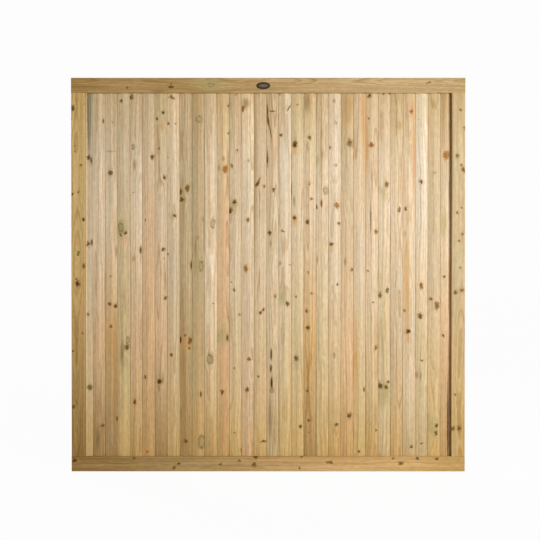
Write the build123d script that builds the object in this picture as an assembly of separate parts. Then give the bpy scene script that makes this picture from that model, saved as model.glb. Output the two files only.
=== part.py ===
from build123d import *
import os
from math import floor

# An acoustic fence panel: interlocking vertical boards held all round in a grooved timber frame.
# X runs along the fence, Y through it with the front at -Y, and Z up.
# The origin is on the underside, at mid width and mid depth. Lengths are in millimetres.

# Frame timbers
PANEL_WIDTH = 1830.0
PANEL_HEIGHT = 1830.0
FRAME_DEPTH = 45.0
RAIL_HEIGHT = 70.0
STILE_WIDTH = 63.0
FRAME_ARRIS = 2.5  # radius planed on the long edges
RAIL_GROOVE_DEPTH = 18.0  # takes the board ends and the stub tenons
STILE_GROOVE_WIDTH = 12.6  # takes the tongues of the two edge boards
STILE_GROOVE_DEPTH = 15.0
TENON_FIT = 0.15  # on each cheek of a stub tenon
TENON_END_GAP = 2.0

# Interlocking boards
BOARD_COVER = 57.8  # from one joint line to the next
BOARD_THICKNESS = 28.0  # at the ridge along the middle of each face
EDGE_THICKNESS = 21.0  # at the two joint lines
BOARD_ARRIS = 1.0
JOINT_GAP = 0.6  # open shadow line between two boards
FIRST_STRIP = 34.6  # what shows of the first board, which is ripped to fit
SWELLING_CHANNEL = 13.0  # left open beside the right stile, across the last board's tongue
BOARD_FIT = 0.4  # from the ridge to the cheek of the rail groove
BOARD_END_GAP = 3.0  # above the boards, which stand on the bottom rail

# Tongue and groove between two boards
TONGUE_ROOT = 8.0
TONGUE_TIP = 6.6
TONGUE_LENGTH = 10.0
TONGUE_NOSE = 1.6  # bevel that leads the tongue into the groove
TONGUE_FIT = 0.25  # on each face of the tongue
TONGUE_END_GAP = 1.2
GROOVE_WALL = 6.0  # least timber left behind a groove in a ripped board

# Tongues of the two edge boards in the stile grooves
EDGE_TONGUE_FIT = 0.3  # on each face of the tongue
EDGE_TONGUE_END_GAP = 3.0
EDGE_SHOULDER_GAP = 0.8  # between the first board's shoulder and the stile

# One long screw at each corner, which pulls the rail down on the stile's tenon
SCREW_LENGTH = 110.0
SCREW_DIAMETER = 5.0
SCREW_HEAD_DIAMETER = 9.8
SCREW_HEAD_HEIGHT = 3.2
SCREW_HEAD_SINK = 0.8
SCREW_POINT = 7.0
SCREW_FIT = 0.1
SCREW_INSET = 31.5  # from the panel's edge

# Oval badge on the top rail, its field bare
BADGE_WIDTH = 64.0
BADGE_HEIGHT = 33.0
BADGE_THICKNESS = 3.2
BADGE_RIM = 3.0
BADGE_RECESS = 0.9
BADGE_BEVEL = 0.8  # round the front edge
BADGE_OFFSET = -22.0  # from the middle of the rail, along X
BADGE_DROP = 2.0  # below the middle of the rail
PIN_DIAMETER = 1.8
PIN_HEAD_DIAMETER = 4.0
PIN_HEAD_HEIGHT = 1.1
PIN_LENGTH = 16.0
PIN_FIT = 0.05
PIN_SPACING = 46.0

# Sizes that follow from the ones above
STILE_LENGTH = PANEL_HEIGHT - 2 * RAIL_HEIGHT
RAIL_GROOVE_WIDTH = BOARD_THICKNESS + 2 * BOARD_FIT
TENON_THICKNESS = RAIL_GROOVE_WIDTH - 2 * TENON_FIT
TENON_LENGTH = RAIL_GROOVE_DEPTH - TENON_END_GAP
BOARD_BOTTOM = RAIL_HEIGHT - RAIL_GROOVE_DEPTH
BOARD_LENGTH = STILE_LENGTH + 2 * RAIL_GROOVE_DEPTH - BOARD_END_GAP
HALF_OPENING = PANEL_WIDTH / 2 - STILE_WIDTH
EDGE_TONGUE = STILE_GROOVE_WIDTH - 2 * EDGE_TONGUE_FIT
EDGE_TONGUE_REACH = STILE_GROOVE_DEPTH - EDGE_TONGUE_END_GAP
SHOULDER = (BOARD_COVER - JOINT_GAP) / 2  # from a board's ridge to its shoulder
FIRST_JOINT = FIRST_STRIP - HALF_OPENING
LAST_SHOULDER = HALF_OPENING - SWELLING_CHANNEL
LEAST_LAST_BOARD = TONGUE_LENGTH + TONGUE_END_GAP + GROOVE_WALL
FULL_BOARDS = floor((LAST_SHOULDER - LEAST_LAST_BOARD - FIRST_JOINT) / BOARD_COVER)
LAST_JOINT = FIRST_JOINT + FULL_BOARDS * BOARD_COVER


def box_section(left, right, half_height):
    """A rectangle between two X values, as high above the X axis as below it."""
    return Pos((left + right) / 2, 0) * Rectangle(right - left, 2 * half_height)


def eased_bar(width, height):
    """The section of a planed bar with its four long edges rounded."""
    return RectangleRounded(width, height, FRAME_ARRIS)


# The interlocking board section, drawn with X along the fence and Y through it
def both_faces(back):
    """A section whose front mirrors its back, given by the back's points from left to right."""
    front = [(x, -y) for x, y in back]
    return Polygon(*front, *reversed(back), align=None)


def half_thickness(offset):
    """Half a board's thickness at a distance from its ridge."""
    fall = abs(offset) * (BOARD_THICKNESS - EDGE_THICKNESS) / BOARD_COVER
    return BOARD_THICKNESS / 2 - fall


def ridged_blank(left, right):
    """A board between two shoulders, measured from its ridge, both faces alike."""
    flats = [left + BOARD_ARRIS, right - BOARD_ARRIS]
    if flats[0] < 0 < flats[1]:
        flats.insert(1, 0)
    back = [(x, half_thickness(x)) for x in flats]
    back.insert(0, (left, half_thickness(left) - BOARD_ARRIS))
    back.append((right, half_thickness(right) - BOARD_ARRIS))
    return both_faces(back)


def tongue_section(fit=0.0, end_gap=0.0):
    """The nosed tongue on a board's right shoulder, or the space that it needs."""
    nose = SHOULDER + TONGUE_LENGTH - TONGUE_NOSE + end_gap
    tip = SHOULDER + TONGUE_LENGTH + end_gap
    back = [
        (SHOULDER, TONGUE_ROOT / 2 + fit),
        (nose, TONGUE_TIP / 2 + fit),
        (tip, TONGUE_TIP / 2 - TONGUE_NOSE + fit),
    ]
    return both_faces(back)


def groove_section():
    """The groove in a board's left shoulder, which is its neighbour's tongue with clearance."""
    return Pos(-BOARD_COVER, 0) * tongue_section(TONGUE_FIT, TONGUE_END_GAP)


def full_board_section():
    """A whole board: groove on the left, tongue on the right."""
    return ridged_blank(-SHOULDER, SHOULDER) + tongue_section() - groove_section()


def first_board_section():
    """The ripped first board: a plain tongue for the left stile, its own tongue on the right."""
    ridge = FIRST_JOINT - BOARD_COVER / 2
    shoulder = EDGE_SHOULDER_GAP - HALF_OPENING - ridge
    tongue_end = -HALF_OPENING - EDGE_TONGUE_REACH - ridge
    edge_tongue = box_section(tongue_end, shoulder + BOARD_ARRIS, EDGE_TONGUE / 2)
    return ridged_blank(shoulder, SHOULDER) + tongue_section() + edge_tongue


def last_board_section():
    """The rebated last board, whose plain tongue crosses the channel into the right stile."""
    ridge = LAST_JOINT + BOARD_COVER / 2
    shoulder = LAST_SHOULDER - ridge
    tongue_end = HALF_OPENING + EDGE_TONGUE_REACH - ridge
    edge_tongue = box_section(shoulder - BOARD_ARRIS, tongue_end, EDGE_TONGUE / 2)
    return ridged_blank(-SHOULDER, shoulder) + edge_tongue - groove_section()


def board(section, left_joint):
    """One board, standing in the bottom rail's groove."""
    ridge = left_joint + BOARD_COVER / 2
    return Pos(ridge, 0, BOARD_BOTTOM) * extrude(section, BOARD_LENGTH)


def all_boards():
    """Every board from left to right: one ripped, the full ones, one rebated."""
    boards = [board(first_board_section(), FIRST_JOINT - BOARD_COVER)]
    full = full_board_section()
    for count in range(FULL_BOARDS):
        boards.append(board(full, FIRST_JOINT + count * BOARD_COVER))
    boards.append(board(last_board_section(), LAST_JOINT))
    return boards


# Fasteners
def screw_form(fit=0.0):
    """A countersunk screw hanging from the origin, point down, or the hole that it needs."""
    head = SCREW_HEAD_DIAMETER / 2 + fit
    shank = SCREW_DIAMETER / 2 + fit
    outline = [
        (0, fit),
        (head, fit),
        (shank, -SCREW_HEAD_HEIGHT),
        (shank, SCREW_POINT - SCREW_LENGTH - fit),
        (0, -SCREW_LENGTH - fit),
    ]
    return revolve(make_face(Plane.XZ * Polyline(*outline, close=True)), Axis.Z)


def screw_places():
    """X of each screw in a rail, one over each stile."""
    reach = PANEL_WIDTH / 2 - SCREW_INSET
    return [-reach, reach]


def screws_at_rest(fit=0.0):
    """The four corner screws: two down through the top rail, two up through the bottom one."""
    down = screw_form(fit)
    up = Rot(180, 0, 0) * down
    top = PANEL_HEIGHT - SCREW_HEAD_SINK
    placed = [Pos(x, 0, top) * down for x in screw_places()]
    placed += [Pos(x, 0, SCREW_HEAD_SINK) * up for x in screw_places()]
    return placed


def screw_holes():
    """The bores for the corner screws, with the sinkings over their heads."""
    sink = Cylinder(SCREW_HEAD_DIAMETER / 2 + SCREW_FIT, 2 * SCREW_HEAD_SINK)
    holes = screws_at_rest(SCREW_FIT)
    for x in screw_places():
        holes += [Pos(x, 0, z) * sink for z in (0, PANEL_HEIGHT)]
    return holes


# Frame
def rail(holes):
    """The bottom rail, lying on the origin plane with its groove upwards."""
    groove = Pos(0, RAIL_HEIGHT - RAIL_GROOVE_DEPTH / 2)
    groove *= Rectangle(RAIL_GROOVE_WIDTH, RAIL_GROOVE_DEPTH)
    section = Pos(0, RAIL_HEIGHT / 2) * eased_bar(FRAME_DEPTH, RAIL_HEIGHT) - groove
    bar = extrude(Plane.YZ * section, PANEL_WIDTH / 2, both=True)
    return bar - holes


def bottom_rail():
    """The bottom rail, bored from below."""
    return rail(screw_holes())


def top_rail():
    """The top rail: the bottom one turned over, with two holes for the badge pins."""
    turned = Pos(0, 0, PANEL_HEIGHT) * Rot(180, 0, 0) * rail(screw_holes())
    return turned - badge_pins(PIN_FIT)


def left_stile():
    """The left stile with its groove to the right and a stub tenon at each end."""
    groove = Pos(STILE_WIDTH / 2 - STILE_GROOVE_DEPTH / 2, 0)
    groove *= Rectangle(STILE_GROOVE_DEPTH, STILE_GROOVE_WIDTH)
    section = eased_bar(STILE_WIDTH, FRAME_DEPTH) - groove
    tenon_section = section & Rectangle(STILE_WIDTH, TENON_THICKNESS)
    bar = Pos(0, 0, RAIL_HEIGHT) * extrude(section, STILE_LENGTH)
    tenons = extrude(tenon_section, STILE_LENGTH + 2 * TENON_LENGTH)
    tenons = Pos(0, 0, RAIL_HEIGHT - TENON_LENGTH) * tenons
    placed = Pos(STILE_WIDTH / 2 - PANEL_WIDTH / 2, 0, 0) * (bar + tenons)
    return placed - screw_holes()


def right_stile():
    """The right stile, the left one turned round."""
    return Rot(0, 0, 180) * left_stile()


# Badge
def badge():
    """A plain oval plate with a bevelled rim and a sunk field, flat on the rail's front."""
    outline = Ellipse(BADGE_WIDTH / 2, BADGE_HEIGHT / 2)
    field = Ellipse(BADGE_WIDTH / 2 - BADGE_RIM, BADGE_HEIGHT / 2 - BADGE_RIM)
    plate = extrude(outline, BADGE_THICKNESS)
    plate = chamfer(plate.edges().group_by(Axis.Z)[-1], BADGE_BEVEL)
    plate -= Pos(0, 0, BADGE_THICKNESS) * extrude(field, -BADGE_RECESS)
    return badge_place() * plate - badge_pins(PIN_FIT)


def badge_place():
    """Where the badge lies: on the top rail's front face, its thickness towards -Y."""
    middle = PANEL_HEIGHT - RAIL_HEIGHT / 2 - BADGE_DROP
    return Pos(BADGE_OFFSET, -FRAME_DEPTH / 2, middle) * Rot(90, 0, 0)


def badge_pins(fit=0.0):
    """The two round-headed pins that hold the badge, or the holes that they need."""
    seat = BADGE_THICKNESS - BADGE_RECESS
    shank_length = PIN_LENGTH + fit
    shank = Pos(0, 0, seat - shank_length / 2)
    shank *= Cylinder(PIN_DIAMETER / 2 + fit, shank_length)
    head = Pos(0, 0, seat + PIN_HEAD_HEIGHT / 2)
    head *= Cylinder(PIN_HEAD_DIAMETER / 2, PIN_HEAD_HEIGHT)
    pin = shank + head
    return [badge_place() * Pos(x, 0, 0) * pin for x in (-PIN_SPACING / 2, PIN_SPACING / 2)]


def all_nodes():
    """Every separate piece of the panel by name."""
    nodes = {
        "bottom_rail": bottom_rail(),
        "top_rail": top_rail(),
        "left_stile": left_stile(),
        "right_stile": right_stile(),
        "corner_screws": Compound(children=screws_at_rest()),
        "badge": badge(),
        "badge_pins": Compound(children=badge_pins()),
    }
    for number, piece in enumerate(all_boards(), start=1):
        nodes[f"board_{number:02d}"] = piece
    return nodes


os.makedirs("parts", exist_ok=True)
for name, shape in all_nodes().items():
    export_step(shape, f"parts/{name}.step")
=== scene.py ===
import math
from collections import namedtuple

import bpy
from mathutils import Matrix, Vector

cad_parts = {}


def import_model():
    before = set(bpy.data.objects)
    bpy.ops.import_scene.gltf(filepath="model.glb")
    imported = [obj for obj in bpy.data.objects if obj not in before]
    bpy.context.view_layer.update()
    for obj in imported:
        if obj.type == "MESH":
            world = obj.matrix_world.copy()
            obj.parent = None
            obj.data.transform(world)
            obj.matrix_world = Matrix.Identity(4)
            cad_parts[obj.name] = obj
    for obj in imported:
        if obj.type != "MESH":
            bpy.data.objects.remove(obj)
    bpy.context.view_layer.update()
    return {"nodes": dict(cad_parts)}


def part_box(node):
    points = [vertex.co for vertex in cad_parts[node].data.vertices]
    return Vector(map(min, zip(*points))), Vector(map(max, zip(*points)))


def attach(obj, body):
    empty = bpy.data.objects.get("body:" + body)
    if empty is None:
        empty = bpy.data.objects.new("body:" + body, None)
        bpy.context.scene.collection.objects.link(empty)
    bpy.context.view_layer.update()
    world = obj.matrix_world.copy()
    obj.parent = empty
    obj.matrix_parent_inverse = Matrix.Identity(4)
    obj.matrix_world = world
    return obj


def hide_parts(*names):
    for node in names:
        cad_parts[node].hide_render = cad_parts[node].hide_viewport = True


# A pressure-treated acoustic fence panel, square on to the camera on a white studio ground.
# Lengths in the materials are millimetres; places in the scene are metres.

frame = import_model()
MM = 0.001

# Where the panel lies in the photograph, which ties a mark's pixel to a place on the timber
PHOTO_SIDE = 540
PHOTO_MIDDLE_X = 268.2  # pixel column of the panel's middle
PHOTO_GROUND_Y = 472.0  # pixel row of the panel's underside
MM_PER_PIXEL_X = 4.652
MM_PER_PIXEL_Z = 4.643

# Kinds of node
MATH = "ShaderNodeMath"
VECTOR = "ShaderNodeVectorMath"
RANGE = "ShaderNodeMapRange"
MIX = "ShaderNodeMix"
NOISE = "ShaderNodeTexNoise"
SEPARATE = "ShaderNodeSeparateXYZ"
COMBINE = "ShaderNodeCombineXYZ"


# Shared helpers
def linear(code):
    """An sRGB hex colour as linear red, green, blue and alpha."""
    parts = [int(code[i : i + 2], 16) / 255 for i in (1, 3, 5)]
    return [c / 12.92 if c <= 0.04045 else ((c + 0.055) / 1.055) ** 2.4 for c in parts] + [1.0]


def add(tree, kind, inputs=(), **settings):
    """Adds a node with its settings. Inputs are named, or numbered among those in use."""
    node = tree.nodes.new(kind)
    for name, value in settings.items():
        setattr(node, name, value)
    feed(tree, node, inputs)
    return node


def feed(tree, node, inputs):
    """Links a node's inputs to other nodes or sockets, or sets their values."""
    used = [socket for socket in node.inputs if not socket.is_unavailable]
    for key, value in dict(inputs).items():
        socket = used[key] if isinstance(key, int) else next(s for s in used if s.name == key)
        if isinstance(value, bpy.types.Node):
            value = next(out for out in value.outputs if not out.is_unavailable)
        if isinstance(value, bpy.types.NodeSocket):
            tree.links.new(value, socket)
        else:
            socket.default_value = value


def new_group(name, kind, inputs, outputs):
    """An empty node group with its sockets, its input node and its output node."""
    tree = bpy.data.node_groups.new(name, kind)
    for socket, of in inputs.items():
        tree.interface.new_socket(socket, in_out="INPUT", socket_type="NodeSocket" + of)
    for socket, of in outputs.items():
        tree.interface.new_socket(socket, in_out="OUTPUT", socket_type="NodeSocket" + of)
    return tree, tree.nodes.new("NodeGroupInput").outputs, tree.nodes.new("NodeGroupOutput")


def new_material(name, specular=0.5):
    """A material with an empty tree, its shader and its output."""
    material = bpy.data.materials.new(name)
    material.use_nodes = True
    tree = material.node_tree
    tree.nodes.clear()
    shader = add(tree, "ShaderNodeBsdfPrincipled", {"Specular IOR Level": specular})
    add(tree, "ShaderNodeOutputMaterial", {"Surface": shader})
    return material, tree, shader


# Tones of pressure-treated pine, from fresh sapwood to heartwood and darker wood. A board's tones
# grow paler and greyer upwards: partly its own colour, partly painted sheen where light is
# brightest.
TONES = {
    "chalk": "#D3C3AC",
    "cream": "#E0CBAC",
    "straw": "#CFBA9C",
    "sand": "#C9B38A",
    "oat": "#C2AC8C",
    "grey": "#B7A17B",
    "moss": "#BEAF88",
    "pink": "#D4B189",
    "honey": "#CEB075",
    "amber": "#C5A366",
    "rosy": "#C9A26B",
    "umber": "#A68854",
    "tawny": "#A5864D",
    "dun": "#AC9166",
    "earth": "#937239",
}

# Kinds of mark, one line each: heart, rim and halo colours, how much each covers, how softly the
# heart ends, and how far the grain is pushed aside. Black to pale are knots, from dead and resin
# soaked to sound; moss to tan are stains and streaks, though shade and crack also serve as painted
# shade in the channel by the right stile; the last are cracks, a wane darkened partly by painted
# shade, and a painted highlight along a board's edge.
MARKS = {
    "black": ("#4A3110", "#35230B", "#A67F40", 1.0, 0.3, 0.65, 0.55, 0.9),
    "dark": ("#5A3D16", "#43300F", "#A07A40", 0.95, 0.3, 0.5, 0.55, 0.9),
    "brown": ("#6E4A1E", "#54380F", "#A98246", 0.95, 0.3, 0.45, 0.55, 0.9),
    "orange": ("#94601B", "#6A4412", "#BE8E4A", 0.95, 0.35, 0.5, 0.55, 0.9),
    "red": ("#84511F", "#5E3A16", "#B88348", 0.95, 0.3, 0.5, 0.55, 0.9),
    "olive": ("#5E4A1E", "#3E3010", "#A28A4C", 0.85, 0.4, 0.5, 0.5, 0.9),
    "grey": ("#978358", "#5E4F2C", "#AF9A6C", 0.5, 0.6, 0.35, 0.5, 0.8),
    "pale": ("#D6C196", "#A38C5E", "#C6AD7E", 0.5, 0.3, 0.25, 0.6, 0.8),
    "moss": ("#9A8C5A", "#9A8C5A", "#ADA06C", 0.36, 0.0, 0.3, 0.9, 0.5),
    "rose": ("#D69F78", "#D69F78", "#D8A680", 0.45, 0.0, 0.25, 0.9, 0.0),
    "gold": ("#C3914F", "#C3914F", "#CBA369", 0.55, 0.0, 0.25, 0.9, 0.0),
    "flame": ("#B9814A", "#B9814A", "#C0905A", 0.62, 0.0, 0.25, 0.8, 0.0),
    "shade": ("#7A5E36", "#7A5E36", "#9C7C4C", 0.55, 0.0, 0.25, 0.9, 0.0),
    "tan": ("#A37F4C", "#A37F4C", "#B08C58", 0.5, 0.0, 0.2, 0.6, 0.0),
    "crack": ("#453218", "#453218", "#86683C", 0.9, 0.0, 0.35, 0.6, 0.0),
    # a wane: dark partly with its own colour and partly with painted shade of the missing wood
    "wane": ("#5E5C42", "#5E5C42", "#5E5C42", 0.58, 0.0, 0.0, 0.25, 0.0),
    # a painted highlight: a pale strip for an edge in the light
    "worn": ("#EBD5AC", "#EBD5AC", "#EBD5AC", 0.6, 0.0, 0.0, 0.6, 0.0),
}

# What one timber shows: its tones, bottom to top or left to right; its pith, across from the
# middle and through from mid depth, in millimetres; and its marks in the photograph, each by
# pixel column and row, width and height in pixels, kind, and a turn in degrees where it has one
Timber = namedtuple("Timber", "tones pith marks")

TIMBERS = {
    "top_rail": Timber("tawny umber dun dun", (20, 75), [
        (88, 87, 34, 1.2, "shade"),
        (127.9, 87.6, 2, 2, "dark"),
        (171.3, 84, 2, 1.5, "brown"),
        (171.3, 87, 4, 2, "black"),
        (158.3, 91.2, 12, 3, "shade"),
        (211, 85, 20, 8, "moss"),
        (211, 85, 6, 4, "grey"),
        (428.7, 82.5, 3.6, 2, "brown"),
    ]),
    "bottom_rail": Timber("earth umber rosy amber", (-15, 70), [
        (74.4, 461.3, 5, 3, "black"),
        (105, 458.8, 48, 1, "shade"),
        (134, 458.7, 3, 2, "dark"),
        (173.9, 468.1, 3, 3, "brown"),
        (178.4, 464.2, 4, 2, "black"),
        (220.6, 464.9, 2.5, 2, "dark"),
        (239.3, 461.1, 2, 2, "brown"),
        (255.4, 457.3, 4, 3, "black"),
        (253.9, 465.1, 4, 3, "dark"),
        (299.6, 468.3, 1.6, 2, "brown"),
        (301.3, 456.8, 2, 2, "dark"),
        (327.8, 463, 3, 1.5, "brown"),
        (331, 462.8, 3, 2, "dark"),
        (393.1, 458.7, 2, 2, "dark"),
        (401.3, 463.9, 4, 3, "brown"),
        (417, 459, 2.5, 1.5, "dark"),
        (437.1, 459.6, 2, 2, "dark"),
    ]),
    "left_stile": Timber("earth amber honey", (-8, 60), [
        (73.5, 108.3, 2.5, 5, "dark", 20),
        (84.5, 104.6, 1.5, 1.5, "red"),
        (75.3, 145.7, 1, 1, "dark"),
        (75.3, 151.7, 1, 1, "dark"),
        (82.9, 147, 1, 1, "dark"),
        (81.1, 165, 2, 2, "brown"),
        (78.4, 192.5, 1.8, 1.8, "red"),
        (72.3, 193.9, 2, 2, "dark"),
        (83.8, 219.2, 2, 2.5, "dark"),
        (78.4, 253.3, 2.5, 3.5, "olive"),
        (84, 266.2, 2.5, 4, "olive"),
        (77.9, 283.8, 3.5, 5.5, "black"),
        (77, 278.7, 1.5, 1.5, "dark"),
        (75.2, 313.8, 2, 2, "gold"),
        (82.4, 332.8, 2, 2, "brown"),
        (72.6, 351.2, 2, 2, "brown"),
        (85.4, 377.8, 1.5, 1.5, "dark"),
        (73.4, 406.8, 3, 4, "brown"),
    ]),
    "right_stile": Timber("amber grey grey", (10, 65), [
        # painted shade along the stile's inner edge, widening the shadow in the channel beside it
        (452.1, 165, 1.3, 150, "shade"),
        (459.9, 110.4, 2, 3, "brown"),
        (464.4, 128.3, 2, 3, "brown"),
        (457.2, 155.9, 3, 3, "olive"),
        (460.8, 164.9, 2, 2.5, "brown"),
        (463, 169.8, 3.5, 4, "dark"),
        (456.7, 212.5, 2, 3, "brown"),
        (461.8, 207.8, 1.2, 1.2, "brown"),
        (462.1, 234.4, 2, 2, "brown"),
        (458.9, 241, 2, 2, "brown"),
        (459.9, 267.3, 1.5, 1.5, "dark"),
        (455.4, 292.4, 3, 3.5, "brown"),
        (461.8, 290.3, 3, 3, "dark"),
        (455.3, 394.8, 2, 2, "brown"),
        (452.9, 429.2, 3, 3.5, "brown"),
        (459.1, 429, 3, 4, "dark"),
    ]),
    "board_01": Timber("honey straw oat", (30, 40), [
        # painted highlight along the board's left edge, lighting its joint with the stile
        (85.6, 275, 2.6, 364, "worn"),
        # a wane at the board's top, its darkness partly its own colour and partly painted shade
        (89.3, 92, 4.6, 124, "wane"),
        (88.2, 92, 1.5, 122, "wane"),
        (88.8, 157.5, 3, 4, "black"),
        (91.2, 160.5, 1.7, 6, "crack"),
        (87.9, 244, 2.6, 4, "dark"),
        (91.5, 242.6, 1.8, 5, "olive"),
        (87.7, 314.6, 2, 3, "dark"),
        (89.2, 388.1, 4, 5, "olive"),
    ]),
    "board_02": Timber("umber pink cream straw", (-12, 44), [
        (103.4, 121, 1.5, 4, "brown"),
        (96.9, 275, 2, 3, "pale"),
        (102.4, 426.7, 3, 3, "brown"),
        (98, 439, 5, 18, "shade"),
        (105.6, 444, 0.9, 22, "shade"),
    ]),
    "board_03": Timber("dun rosy cream straw", (14, -52), [
        (112.3, 122, 1, 1, "dark"),
        (110.4, 151.3, 10, 1.2, "tan"),
        (110.7, 172.7, 3.5, 5, "brown"),
        (115.9, 252.3, 2, 10, "shade"),
        (110.3, 276.4, 1.5, 1.5, "dark"),
        (109.4, 304.1, 3, 2.5, "red"),
        (115.4, 306.4, 2.6, 3.4, "dark"),
        (110.6, 326.3, 2, 2.5, "red"),
        (117.1, 420.4, 2.6, 4.4, "brown"),
    ]),
    "board_04": Timber("honey sand straw", (-5, 38), [
        (121.1, 101, 2, 3, "dark"),
        (121.4, 229.2, 9, 14, "moss"),
        (120.6, 227.5, 5, 8, "grey"),
        (120.5, 234.8, 2, 2.5, "olive"),
        (125.1, 232.9, 2.5, 3, "dark"),
        (123.3, 241, 5, 6, "rose"),
        (127.5, 340.5, 4, 6, "grey"),
        (126.7, 347.7, 4, 5, "dark"),
        (121.7, 354, 3, 20, "shade"),
    ]),
    "board_05": Timber("amber pink cream straw", (8, 46), [
        (131.1, 97.2, 2.5, 4, "dark"),
        (133.3, 147, 3, 5, "grey"),
        (134.6, 164.9, 2, 8, "shade"),
        (133.8, 192.5, 1, 1, "dark"),
        (140.4, 250.5, 2, 6, "brown"),
        (133.6, 258.8, 3.5, 5, "tan"),
        (134.6, 402.7, 2.5, 4.5, "black"),
    ]),
    "board_06": Timber("rosy pink straw", (22, 42), [
        (152.5, 156.8, 3, 4, "dark"),
        (145, 220, 1.5, 1.5, "dark"),
        (145, 377.6, 2.4, 3, "dark"),
        (146.6, 453, 3, 3, "orange"),
    ]),
    "board_07": Timber("umber pink straw sand", (-10, 36), [
        (163.2, 112.4, 2.5, 3, "black"),
        (157.2, 118.9, 2.5, 2.5, "brown"),
        (161.9, 126.5, 4, 5, "gold"),
        (158.9, 148.3, 1.5, 1.5, "dark"),
        (164.6, 177.4, 3, 3.6, "dark"),
        (163.2, 249.4, 2.5, 2.5, "dark"),
        (163.9, 258.8, 1, 1, "dark"),
        (165.3, 280, 1.2, 14, "shade"),
        (165.3, 298.4, 2.5, 3, "brown"),
        (159.3, 381.9, 4, 4, "black"),
        (161.5, 378, 5, 8, "moss"),
    ]),
    "board_08": Timber("honey straw cream", (5, -48), [
        (171.3, 96.6, 2.6, 3.4, "dark"),
        (173.8, 98.3, 2, 2, "brown"),
        (168.6, 123.2, 1.5, 2, "dark"),
        (175.4, 123.5, 1.5, 2, "dark"),
        (167.7, 157.7, 1.2, 1.6, "shade"),
        (175, 215.8, 2.5, 3, "dark"),
        (172.5, 216, 4, 6, "moss"),
        (167.6, 254.4, 2, 2, "dark"),
        (171, 355.3, 2.5, 2.5, "dark"),
    ]),
    "board_09": Timber("umber grey oat", (-18, 32), [
        (182.6, 397, 6, 110, "tan"),
        (187.5, 188.3, 4, 6, "brown"),
        (180.2, 192.1, 3, 5, "dark"),
        (182, 200, 6, 6, "moss"),
        (181.6, 199.6, 4, 4, "dark"),
        (192, 265.5, 3, 7, "dark"),
        (185.2, 336, 2, 2, "brown"),
        (180.1, 340.5, 2.5, 6, "black"),
        (185.5, 344, 9, 11, "gold"),
        (190, 341.3, 4, 6, "brown"),
        (189.2, 348.7, 2.5, 2.5, "olive"),
        (185.4, 442, 2.4, 3.4, "dark"),
    ]),
    "board_10": Timber("amber grey grey", (25, 35), [
        (199, 119, 5, 6, "grey"),
        (197, 103, 2, 13, "gold"),
        (203.4, 219.7, 2, 4, "grey"),
        (197.7, 237.8, 1.2, 3, "shade"),
        (198, 267, 10, 12, "moss"),
        (201, 266.5, 4.6, 9, "grey"),
        (195.4, 247.5, 1.5, 15, "shade"),
        (200.7, 395.1, 2, 5, "brown"),
        (201.5, 443, 6, 12, "grey"),
    ]),
    "board_11": Timber("amber cream straw", (-6, 50), [
        (213, 223.5, 4, 8, "grey"),
        (213.4, 304.1, 1, 1, "dark"),
        (209.6, 359.7, 5.5, 9, "grey"),
    ]),
    "board_12": Timber("rosy pink sand", (12, 40), [
        (228.5, 105.8, 1.5, 3, "brown"),
        (228.5, 133.6, 1.4, 2.2, "brown"),
        (221, 132, 1.5, 22, "rose"),
        (225.4, 169.3, 4.2, 7, "orange"),
        (219, 168, 2, 4, "shade"),
        (223.6, 158.6, 2, 4, "shade"),
        (224.2, 235, 1.8, 60, "rose"),
        (224.2, 365, 2.2, 26, "rose"),
        (222, 337, 9, 14, "moss"),
        (227.3, 338.5, 2, 5, "dark"),
        (222.1, 392.9, 2.5, 4, "dark"),
        (222.1, 388, 2, 6, "rose"),
    ]),
    "board_13": Timber("honey straw oat", (-20, 44), [
        (236.3, 94.5, 1.5, 1.5, "brown"),
        (237.4, 150.4, 1.5, 2.5, "dark"),
        (231.6, 166.2, 2, 3, "olive"),
        (235, 202, 3.4, 3.8, "black"),
        (229.6, 211, 4.4, 5.2, "black"),
        (232, 206.5, 9, 12, "moss"),
        (234.2, 290.1, 1.5, 2.5, "brown"),
        (231.3, 282.3, 1, 1, "dark"),
        (239.3, 315.3, 2, 2, "orange"),
        (234.3, 369, 1.5, 1.5, "dark"),
        (234.7, 433.8, 1.5, 1.5, "dark"),
        (241.7, 452, 2, 3, "brown"),
    ]),
    "board_14": Timber("pink straw cream", (9, 37), [
        (246, 103, 6, 7, "shade"),
        (242.5, 108.6, 3.5, 6, "red", 25),
        (248.6, 160.4, 2, 3, "shade"),
        (248.1, 220.1, 2.4, 3.6, "brown"),
        (245.5, 268.9, 3.2, 6.5, "orange"),
        (249.1, 359.5, 2, 3, "brown"),
        (247.1, 390.3, 2.5, 3.5, "dark"),
        (247.1, 396, 3, 6, "gold"),
    ]),
    "board_15": Timber("honey straw oat", (-14, -45), [
        (254.8, 165, 3.2, 170, "tan"),
        (257.2, 184, 2.6, 6, "dark", 35),
        (259.2, 179.5, 1, 4, "dark", 20),
        (264.4, 186.6, 2, 3, "brown"),
        (260.3, 312.9, 3, 3, "dark"),
        (263.6, 310, 2.5, 3, "dark"),
        (258.9, 376.9, 1.5, 1.5, "dark"),
        (260.4, 391, 1.6, 22, "rose"),
        (263, 442.5, 5, 1.8, "dark"),
    ]),
    "board_16": Timber("sand straw oat", (3, 24), [
        (267.1, 112, 1.9, 14, "dark"),
        (268.2, 121, 1.7, 9, "dark", -6),
        (270.2, 130, 0.9, 15, "crack", -10),
        (272.5, 111, 5, 1.2, "crack"),
        (267.2, 159, 1.4, 15, "crack"),
        (266.9, 160.3, 2.8, 5, "black"),
        (270, 418, 3, 30, "shade"),
        (273.6, 189.9, 3, 4, "brown"),
        (273.1, 139, 1.5, 12, "rose"),
        (269.9, 233, 2.6, 4, "dark"),
        (270.5, 244, 1.6, 5, "shade"),
        (275.4, 296.6, 1.5, 3, "dark"),
        (271.2, 355, 1.6, 10, "dark"),
        (270.8, 369, 1.8, 6, "dark"),
        (271.6, 383.5, 2, 10, "black"),
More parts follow.
